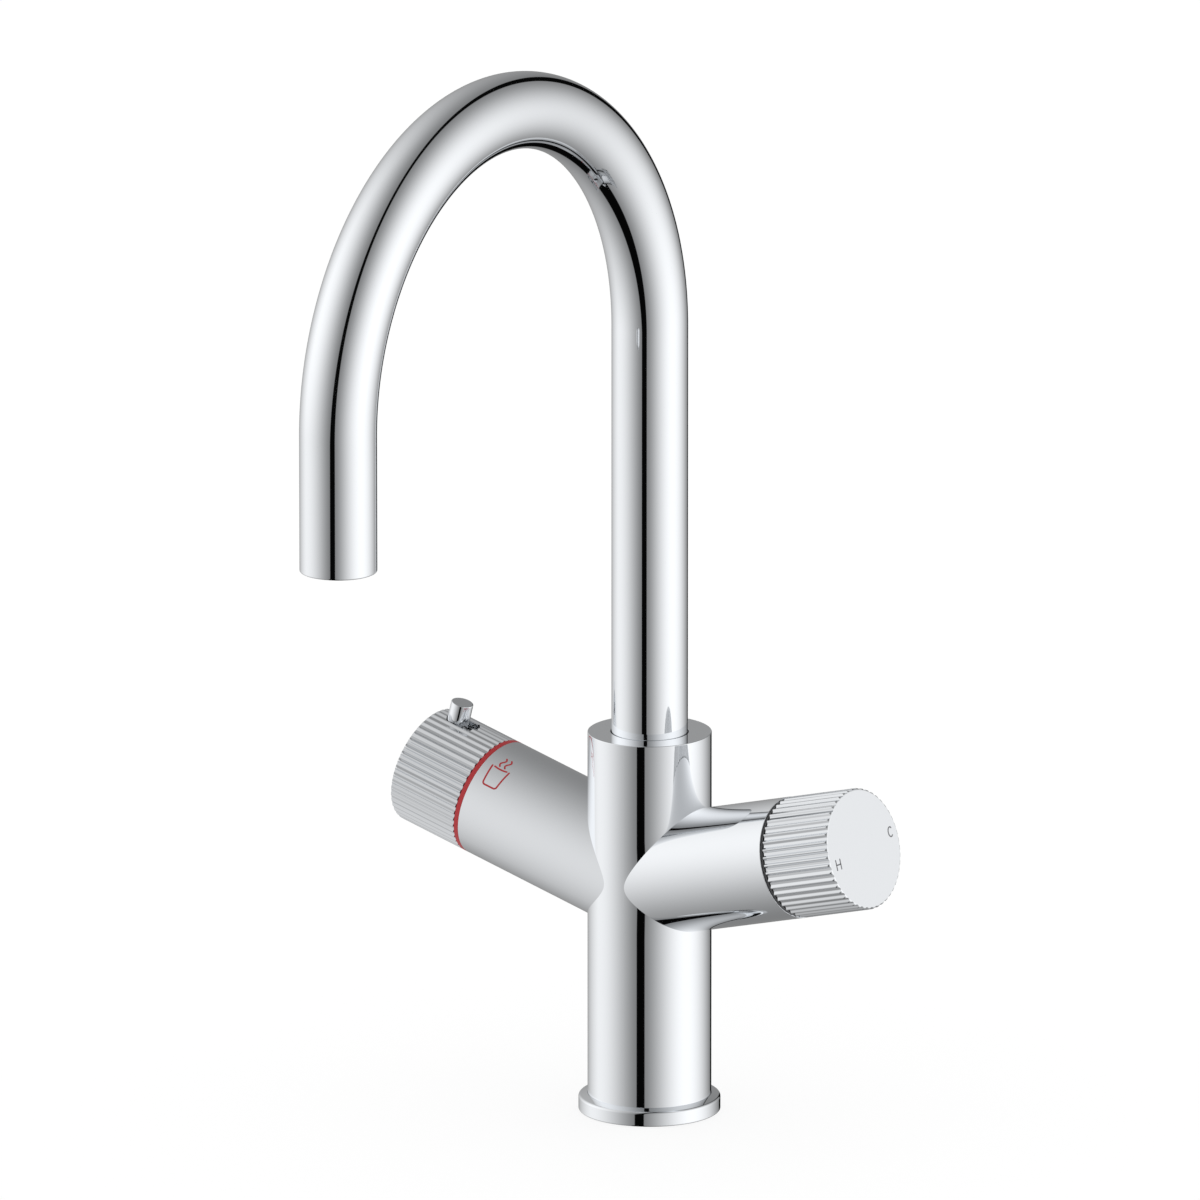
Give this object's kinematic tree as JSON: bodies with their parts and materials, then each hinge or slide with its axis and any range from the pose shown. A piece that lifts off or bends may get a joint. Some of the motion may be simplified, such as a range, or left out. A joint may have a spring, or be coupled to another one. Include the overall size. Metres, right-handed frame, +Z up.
{
  "type": "boiling water tap",
  "caption": "Chrome boiling water tap: upright column, swan-neck swivel spout, two inclined arms with fluted knobs, a red ring and a sliding child lock on the boiling side.",
  "frame": {"origin": "centre of the foot's flat underside, on the worktop", "axes": "+Z up along the column; -Y the way the spout reaches, towards the user; -X the boiling water arm; +X the mixer arm"},
  "size_m": [0.2081, 0.2375, 0.409],
  "materials": {
    "chrome": "polished",
    "brass": "machined",
    "steel": "plain",
    "rubber": "matt",
    "red_plastic": "satin",
    "dark_plastic": "satin",
    "grey_plastic": "matt",
    "ceramic": "opaque fired ceramic",
    "tube_plastic": "translucent"
  },
  "bodies": {
    "tap": {"tap_body": "chrome", "base_ring": "chrome", "base_seal": "rubber", "inlet_block": "brass", "boiling_cartridge": "brass", "boiling_fixed_disc": "ceramic", "boiling_seal": "rubber", "boiling_gland_nut": "brass", "boiling_ring": "red_plastic", "lock_collar": "brass", "mixer_cartridge": "brass", "mixer_fixed_disc": "ceramic", "mixer_seal": "rubber", "mixer_gland_nut": "brass", "mixer_ring": "dark_plastic", "spout_screw": "steel", "glide_ring": "grey_plastic"},
    "spout": {"spout_pipe": "chrome", "spout_spigot": "brass", "spout_oring_lower": "rubber", "spout_oring_upper": "rubber", "inner_tube": "tube_plastic", "outlet_housing": "chrome", "flow_straightener": "grey_plastic", "boiling_nozzle": "chrome"},
    "boiling_handle": {"boiling_knob": "chrome", "boiling_spindle": "brass", "boiling_moving_disc": "ceramic", "boiling_knob_screw": "steel"},
    "child_lock": {"lock_pin": "chrome", "lock_slider": "steel", "lock_spring": "steel"},
    "mixer_handle": {"mixer_knob": "chrome", "mixer_spindle": "brass", "mixer_moving_disc": "ceramic", "mixer_knob_screw": "steel"}
  },
  "joints": [
    {"name": "spout_swivel", "type": "hinge", "parent": "tap", "child": "spout", "pos_m": [0, 0, 0.2], "axis": [0, 0, 1], "range_deg": [-150, 150]},
    {"name": "boiling_knob_turn", "type": "hinge", "parent": "tap", "child": "boiling_handle", "pos_m": [0, 0, 0.0882], "axis": [0.9659, 0, -0.2588], "range_deg": [0, 90]},
    {"name": "child_lock_slide", "type": "slide", "parent": "boiling_handle", "child": "child_lock", "axis": [0.9659, 0, -0.2588], "range_m": [0, 0.0046], "stiffness_N_per_m": 300, "springref_m": -0.004, "deforming": ["lock_spring"]},
    {"name": "mixer_knob_turn", "type": "hinge", "parent": "tap", "child": "mixer_handle", "pos_m": [0, 0, 0.0882], "axis": [0.9659, 0, 0.2588], "range_deg": [-90, 90]}
  ]
}
